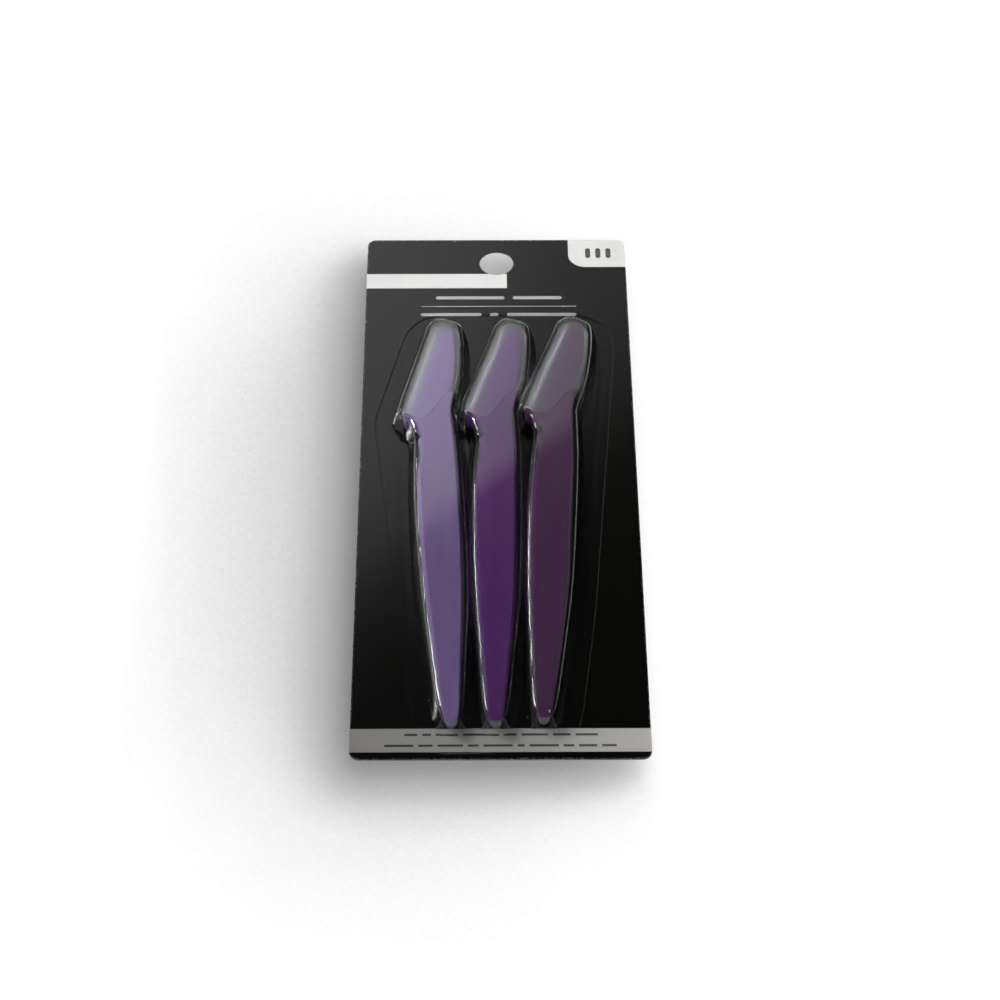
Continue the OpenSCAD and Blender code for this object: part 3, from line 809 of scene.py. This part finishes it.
def printed_card():
    """Glossy black print with pale panels and plain bars, worn at its edges, on grey board."""
    made, tree, shader = material("printed_board", IOR=1.4)
    coords = in_mm(tree)
    group = print_mask_group()

    def masks(bars):
        """One mask for several bars."""
        total = 0.0
        for x, y, half_w, half_h, radius in bars:
            bar = add(tree, "ShaderNodeGroup", node_tree=group)
            tree.links.new(coords, bar.inputs["Place"])
            for name, value in zip(("X", "Y", "Half width", "Half height", "Radius"),
                                   (x, y, half_w, half_h, radius)):
                bar.inputs[name].default_value = value
            total = calc(tree, "MAXIMUM", total, bar.outputs[0])
        return total

    half_w = CARD_W / 2
    half_l = CARD_L / 2
    strip = [((3 - half_w) / 2 - 1, 77.5, (3 + half_w) / 2 + 1, 3, 0.05)]
    tab = [(21.2 + 12, 83.4 + 12, 12, 12, 5)]
    rule = [(0.5, 66.9, 22.5, 0.13, 0.1)]
    title = word_bars((7, 5), start=-17.7, end=18.9, y=70.45, **TITLE_BARS)
    title += word_bars((7, 1, 8), start=-22, end=23, y=63.5, **TITLE_BARS)
    band = [(0, -89.15, half_w + 1, 3.65, 0.05)]
    small = word_bars((3, 2, 5, 8, 3, 6, 4, 5), start=-24.3, end=24.6, y=-87.4, **SMALL_BARS)
    small += word_bars((8, 4, 7, 3, 8, 2, 8, 3, 5, 4), start=-29.3, end=29.2, y=-90.8, **SMALL_BARS)
    count = [(27 + 3 * k, 89.3, 0.75, 2.1, 0.75) for k in range(3)]

    mottle = noise(tree, coords, scale=1.6, detail=4)
    color = mix(tree, mottle, PRINT_BLACK, shade(PRINT_BLACK, by=1.5))
    for bars, tone in ((strip + tab, PRINT_WHITE), (band, PRINT_GREY), (title + rule, PRINT_TEXT)):
        color = mix(tree, masks(bars), color, tone)
    color = mix(tree, masks(small + count), color, PRINT_DARK)

    edge = masks([(0, 0, half_w - WEAR_W, half_l - WEAR_W, CARD_CORNER_R - WEAR_W)])
    rub = calc(tree, "MULTIPLY", calc(tree, "SUBTRACT", 1.0, edge), ramp(tree, mottle, 0.45, 0.7))
    color = mix(tree, calc(tree, "MULTIPLY", rub, WEAR_STRENGTH), color, BOARD_GREY)
    height = add(tree, "ShaderNodeSeparateXYZ", {0: coords}).outputs["Z"]
    front = ramp(tree, height, CARD_T * 0.8, CARD_T * 0.9)
    fibres = noise(tree, coords, scale=2.4, detail=6, stretch=(1, 0.3, 1))
    board = mix(tree, fibres, shade(BOARD_GREY, by=0.85), shade(BOARD_GREY, by=1.1))
    tree.links.new(mix(tree, front, board, color), shader.inputs["Base Color"])
    gloss = from_noise(tree, mottle, 0.09, 0.12)
    board_rough = calc(tree, "MULTIPLY", calc(tree, "SUBTRACT", 1.0, front), 0.45)
    tree.links.new(calc(tree, "ADD", board_rough, gloss), shader.inputs["Roughness"])
    bump(tree, shader, mottle, strength=0.05, depth=0.01)
    return made


# The object

def piece(name, bm, body, looks, nodes, flat_angle=40):
    """A piece of the object, riding on a body in place of its CAD nodes."""
    obj = new_object(name, bm, flat_angle)
    for look in looks:
        obj.data.materials.append(look)
    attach(obj, body)
    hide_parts(*nodes)
    return obj


def dress(node, look):
    """A new material on a CAD node that keeps its shape."""
    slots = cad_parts[node].data.materials
    slots.clear()
    slots.append(look)


plastics = {
    razor: moulded_plastic(f"moulded_{tint}", color)
    for razor, tint, color in (
        ("left", "lilac", (0.270, 0.177, 0.415)), ("middle", "purple", (0.108, 0.032, 0.163)),
        ("right", "plum", (0.077, 0.030, 0.081)))}
cap_looks = [frosted_plastic(), frosted_edge()]
sheets = [clear_sheet("clear_formed_sheet", ior=1.4), clear_sheet("clear_sealed_flange", ior=1.08)]
blade_look = steel("ground_steel", (0.30, 0.31, 0.33), rough=0.30, grain_scale=9, depth=0.003)
guard_look = steel("folded_foil", (0.42, 0.43, 0.45), rough=0.38, grain_scale=5, depth=0.006)
middle_plane = CARD_T + GRIP_MID

for razor, plastic in plastics.items():
    body = f"{razor}_razor"
    handle = [f"{razor}_handle"]
    piece(f"{razor}_grip", place(grip_mesh(), razor, middle_plane), body, [plastic], handle)
    piece(f"{razor}_head", place(head_mesh(), razor, middle_plane), body, [plastic], handle)
    cap = place(cap_mesh(), razor, middle_plane)
    piece(f"{razor}_frosted_cap", cap, f"{razor}_cap_body", cap_looks, [f"{razor}_cap"])
    dress(f"{razor}_blade", blade_look)
    dress(f"{razor}_blade_guard", guard_look)

dress("backing_card", printed_card())
piece("clear_blister", blister_sheet(), "cover", sheets, ["blister"], flat_angle=50)


# Floor, light and camera

def stage_object(name, bm, look):
    """Something that stands round the object and is no part of it."""
    obj = new_object(name, bm)
    obj.data.materials.append(look)


def floor_look():
    """Pale floor that glows where it is seen, with a painted shadow: the glow is dimmed by ambient
    occlusion where the card shuts out the light.
    """
    made, tree, shader = material("floor", Base_Color=(0.8, 0.8, 0.8, 1), Roughness=0.9)
    path = add(tree, "ShaderNodeLightPath").outputs
    ray = calc(tree, "MAXIMUM", path["Is Camera Ray"], calc(
        tree, "MAXIMUM", path["Is Glossy Ray"], path["Is Transmission Ray"]))
    # Painted shadow: the glow darkens by ambient occlusion towards SHADE_FROM, not by the lamps
    toward = add(tree, "ShaderNodeCombineXYZ", dict(enumerate(SHADE_FROM))).outputs[0]
    openness = add(tree, "ShaderNodeAmbientOcclusion", {
        "Distance": SHADE_REACH * MM, "Normal": toward}, samples=SHADE_SAMPLES).outputs["AO"]
    painted_shade = calc(tree, "ADD", calc(tree, "MULTIPLY", openness, FLOOR_RISE), FLOOR_DARKEST)
    lift = ramp(tree, openness, FLOOR_OPEN_FROM, FLOOR_OPEN_TO, 0, FLOOR_OPEN_LIFT)
    level = calc(tree, "ADD", painted_shade, lift)
    glow = add(tree, "ShaderNodeEmission", {"Color": (1, 1, 1, 1), "Strength": level})
    both = add(tree, "ShaderNodeMixShader", {0: ray, 1: shader.outputs[0], 2: glow.outputs[0]})
    tree.links.new(both.outputs[0], tree.nodes["Material Output"].inputs["Surface"])
    return made


def sky():
    """A dim studio by direction, with a bright panel behind the card that fades on a slant."""
    world = bpy.context.scene.world or bpy.data.worlds.new("studio")
    bpy.context.scene.world = world
    world.use_nodes = True
    tree = world.node_tree
    tree.nodes.clear()
    coords = add(tree, "ShaderNodeTexCoord").outputs["Generated"]
    way = add(tree, "ShaderNodeSeparateXYZ", {0: coords}).outputs
    slant = calc(tree, "ADD", way["Z"], calc(tree, "MULTIPLY", way["X"], SKY_TILT))
    brightness = ramp(tree, slant, SKY_EDGE - 0.05, SKY_EDGE - 0.002, 1.5, 1.1)
    end = ramp(tree, slant, SKY_EDGE - 0.003, SKY_EDGE + 0.004, 1, 0.06)
    panel = calc(tree, "MULTIPLY", brightness, end)
    above = ramp(tree, way["Z"], 0.60, 0.66, 0, 1, smooth=True)
    behind = ramp(tree, way["Y"], 0.45, 0.58, 0, 1, smooth=True)
    narrow = ramp(tree, calc(tree, "ABSOLUTE", way["X"]), 0.14, 0.28, 1, 0, smooth=True)
    ahead = calc(tree, "MULTIPLY", above, calc(tree, "MULTIPLY", behind, narrow))
    panel = calc(tree, "MULTIPLY", panel, ramp(tree, way["X"], -0.02, 0.035, 1, 0.5))
    beside = ramp(tree, way["X"], 0.1, -0.6, SKY_DIM, SKY_SIDE, smooth=True)
    level = mix(tree, ahead, beside, panel)
    back = add(tree, "ShaderNodeBackground", {"Color": level, "Strength": 1.0})
    out = add(tree, "ShaderNodeOutputWorld")
    tree.links.new(back.outputs[0], out.inputs["Surface"])


def lamp(name, place_at, target, size, radiance, spread=180, through=False):
    """A soft rectangular lamp facing a point, with its beam's spread in degrees.

    With through it also shows behind glass.
    """
    light = bpy.data.lights.new(name, "AREA")
    light.shape = "RECTANGLE"
    light.size, light.size_y = size
    light.energy = radiance * math.pi * size[0] * size[1]
    light.spread = math.radians(spread)
    obj = bpy.data.objects.new(name, light)
    obj.location = place_at
    way = Vector(target) - obj.location
    obj.rotation_euler = way.to_track_quat("-Z", "Y").to_euler()
    obj.visible_camera = False
    obj.visible_transmission = through
    bpy.context.scene.collection.objects.link(obj)


pale = floor_look()
floor_low = (-FLOOR_HALF, -FLOOR_HALF, -FLOOR_DROP - FLOOR_THICK)
stage_object("floor", box(floor_low, (FLOOR_HALF, FLOOR_HALF, -FLOOR_DROP)), pale)
# The card lies on a riser that it hides, so its shade on the floor below, painted into the floor's glow,
# is soft and wide
stage_object("riser", box((*RISER_LOW, -FLOOR_DROP), (*RISER_HIGH, 0)), pale)
sky()
lamp("key", (-0.604, 0.447, 0.490), target=(0.025, 0.080, 0), size=(0.2, 0.2), radiance=1.9,
     spread=18, through=True)
lamp("side", (0.294, 0.038, 0.442), target=(0.10, -0.09, 0), size=(0.12, 0.12), radiance=0.8, spread=14)
lamp("fill", (-0.60, -0.60, 1.4), target=(0, 0, 0), size=(1.0, 0.7), radiance=0.15)
lamp("strip", (-0.637, 0.637, 0.631), target=(0, -0.03, 0), size=(0.33, 0.035), radiance=105)
lamp("glint", (-0.72, -0.24, 0.65), target=(0, -0.03, 0), size=(0.10, 0.08), radiance=40,
     through=True)

camera = bpy.data.objects.new("camera", bpy.data.cameras.new("camera"))
camera.location = CAMERA_PLACE
camera.rotation_euler = [math.radians(a) for a in CAMERA_TURN]
camera.data.lens = CAMERA_LENS
camera.data.sensor_width = CAMERA_SENSOR_W
camera.data.clip_start = CAMERA_NEAR
bpy.context.scene.collection.objects.link(camera)
bpy.context.scene.camera = camera
bpy.context.scene.view_settings.view_transform = "Standard"
